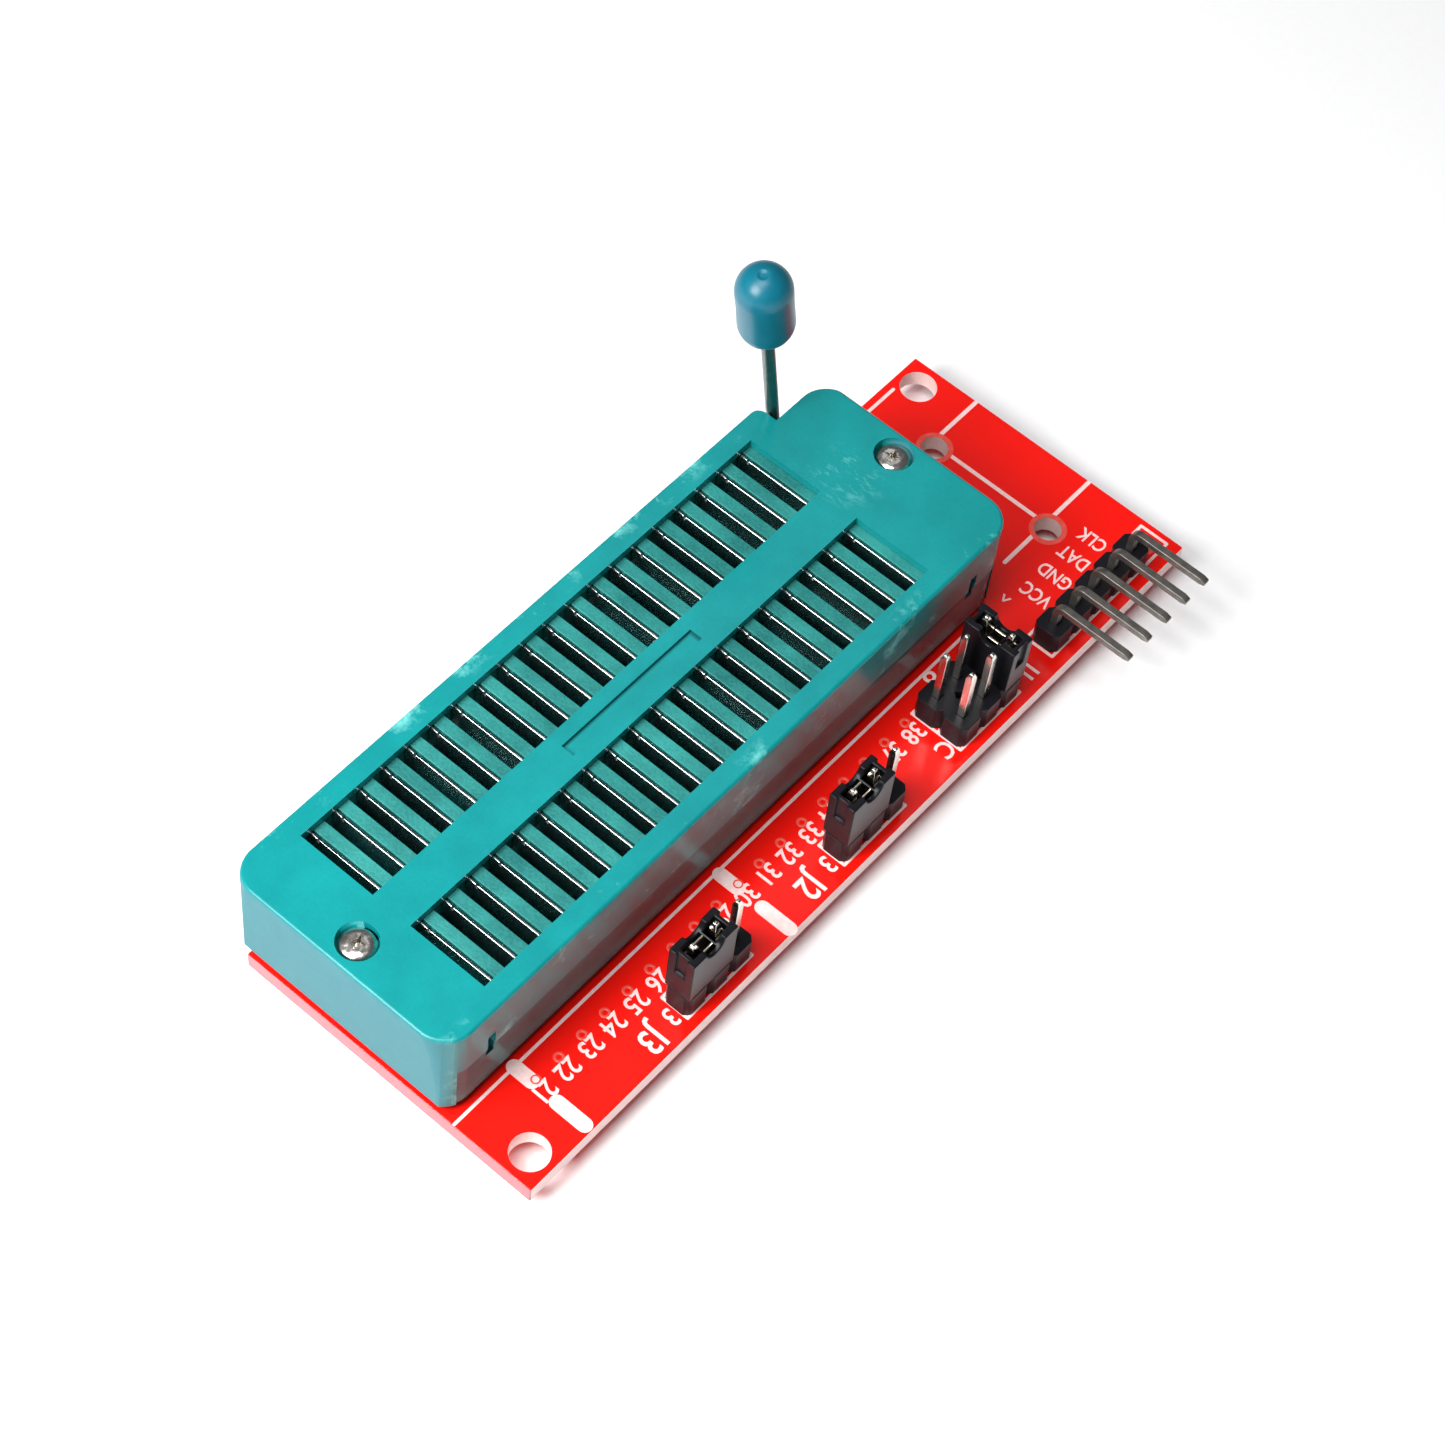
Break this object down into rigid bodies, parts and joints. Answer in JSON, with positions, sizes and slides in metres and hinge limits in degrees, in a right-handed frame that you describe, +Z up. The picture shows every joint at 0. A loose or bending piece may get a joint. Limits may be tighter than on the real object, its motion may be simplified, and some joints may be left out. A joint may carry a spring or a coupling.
{
  "type": "microcontroller programmer adapter",
  "caption": "Red circuit board with a long green zero-force chip socket, a ball-ended cam lever, jumper-set pin headers and a right-angle programming header.",
  "frame": {"origin": "middle of the near corner mounting hole, on the board's underside", "axes": "+X along the board towards the lever end, +Y across the board from the header side to the lever side, +Z up out of the component side"},
  "size_m": [0.0798, 0.036, 0.0335],
  "materials": {
    "board": "glossy solder mask",
    "plating": "tinned",
    "solder": "satin",
    "socket_base": "satin moulded",
    "socket_cover": "satin moulded",
    "screw": "nickel plated",
    "contact": "nickel plated",
    "slider": "satin moulded",
    "lever_steel": "dark plated",
    "knob": "satin moulded",
    "header": "moulded",
    "pin": "tinned",
    "cap": "moulded",
    "clip": "bright"
  },
  "bodies": {
    "root": {"circuit_board": "board", "plated_pads": "plating", "socket_solder_joints": "solder", "header_solder_joints": "solder", "socket_base": "socket_base", "socket_cover": "socket_cover", "cover_screws": "screw", "left_contacts": "contact", "right_contacts": "contact", "j1_header_strip": "header", "j1_header_pins": "pin", "j2_header_strip": "header", "j2_header_pins": "pin", "j3_header_strip": "header", "j3_header_pins": "pin", "icsp_header_strip": "header", "icsp_header_pins": "pin"},
    "lever": {"cam_shaft": "lever_steel", "lever_rod": "lever_steel", "lever_knob": "knob"},
    "slider": {"slider_plate": "slider"},
    "j1_cap": {"j1_cap_housing": "cap", "j1_cap_clip": "clip"},
    "j2_cap": {"j2_cap_housing": "cap", "j2_cap_clip": "clip"},
    "j3_cap": {"j3_cap_housing": "cap", "j3_cap_clip": "clip"}
  },
  "joints": [
    {"name": "lever_turn", "type": "hinge", "parent": "root", "child": "lever", "pos_m": [0.05835, 0.0268, 0.0071], "axis": [0, 1, 0], "range_deg": [0, 101.2]},
    {"name": "slider_slide", "type": "slide", "parent": "root", "child": "slider", "axis": [1, 0, 0], "range_m": [0, 0.0007]},
    {"name": "j1_cap_pull", "type": "slide", "parent": "root", "child": "j1_cap", "axis": [0, 0, 1], "range_m": [0, 0.008]},
    {"name": "j2_cap_pull", "type": "slide", "parent": "root", "child": "j2_cap", "axis": [0, 0, 1], "range_m": [0, 0.008]},
    {"name": "j3_cap_pull", "type": "slide", "parent": "root", "child": "j3_cap", "axis": [0, 0, 1], "range_m": [0, 0.008]}
  ],
  "couplings": [
    {"joint": "lever_turn", "follows": "slider_slide", "rad_per_m": 2522}
  ]
}
